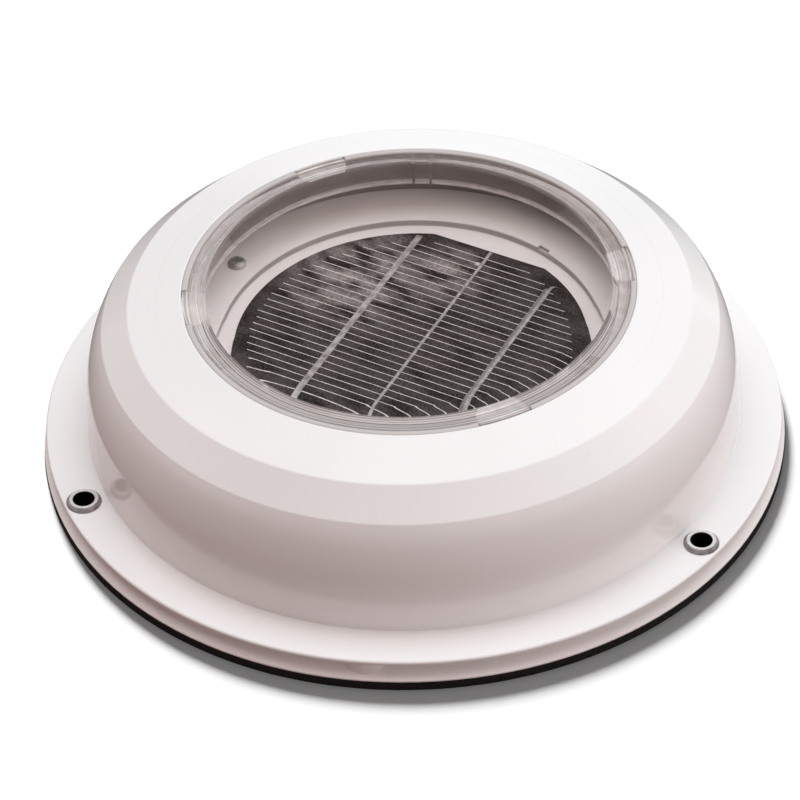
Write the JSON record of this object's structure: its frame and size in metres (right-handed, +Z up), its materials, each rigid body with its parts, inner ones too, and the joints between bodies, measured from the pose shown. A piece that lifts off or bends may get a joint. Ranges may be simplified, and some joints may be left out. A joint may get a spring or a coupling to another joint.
{
  "type": "solar roof vent",
  "caption": "Round solar-powered caravan roof vent: moulded cover with a clear lens over a solar cell, a fan in a duct, screw eyelets and a foam roof gasket.",
  "frame": {"origin": "on the vent's axis at the underside of the roof gasket", "axes": "+Z up along the axis from the roof to the lens; +Y towards one of the screw eyelets"},
  "size_m": [0.215, 0.215, 0.0548],
  "materials": {
    "foam_rubber": "closed-cell foam, matt",
    "white_moulding": "satin white moulding",
    "white_gloss": "high-gloss white moulding",
    "stainless": "bright rolled stainless steel",
    "clear_lens": "clear moulded plastic",
    "pale_seal": "soft translucent bead",
    "deck_white": "satin off-white moulding",
    "screw_steel": "zinc-plated steel",
    "silicon": "dark textured silicon wafer",
    "tinned_ribbon": "tinned copper ribbon",
    "red_insulation": "wire insulation",
    "black_insulation": "wire insulation",
    "can_steel": "drawn, plated steel",
    "cap_plastic": "natural moulding",
    "ferrite": "sintered ferrite",
    "spring_brass": "rolled strip",
    "bush_bronze": "sintered bronze",
    "shaft_steel": "ground steel",
    "core_steel": "stacked sheet steel",
    "copper_wire": "copper",
    "fan_white": "satin moulding",
    "screen_grey": "grey net"
  },
  "bodies": {
    "housing": {"roof_gasket": "foam_rubber", "base_ring": "white_moulding", "cover": "white_gloss", "eyelets": "stainless", "lens": "clear_lens", "lens_seal": "pale_seal", "deck": "deck_white", "deck_screws": "screw_steel", "solar_cell": "silicon", "tab_ribbons": "tinned_ribbon", "centre_ribbon": "tinned_ribbon", "positive_lead": "red_insulation", "negative_lead": "black_insulation", "motor_can": "can_steel", "motor_end_cap": "cap_plastic", "motor_magnets": "ferrite", "motor_brushes": "spring_brass", "motor_terminals": "spring_brass", "front_bush": "bush_bronze", "rear_bush": "bush_bronze", "motor_retainer": "deck_white", "motor_screws": "screw_steel", "insect_screen": "screen_grey", "screen_ring": "white_moulding"},
    "rotor": {"motor_shaft": "shaft_steel", "armature_core": "core_steel", "armature_windings": "copper_wire", "commutator": "copper_wire", "fan": "fan_white"}
  },
  "joints": [
    {"name": "fan_spin", "type": "hinge", "parent": "housing", "child": "rotor", "pos_m": [0, 0, 0.015], "axis": [0, 0, 1], "continuous": true}
  ]
}
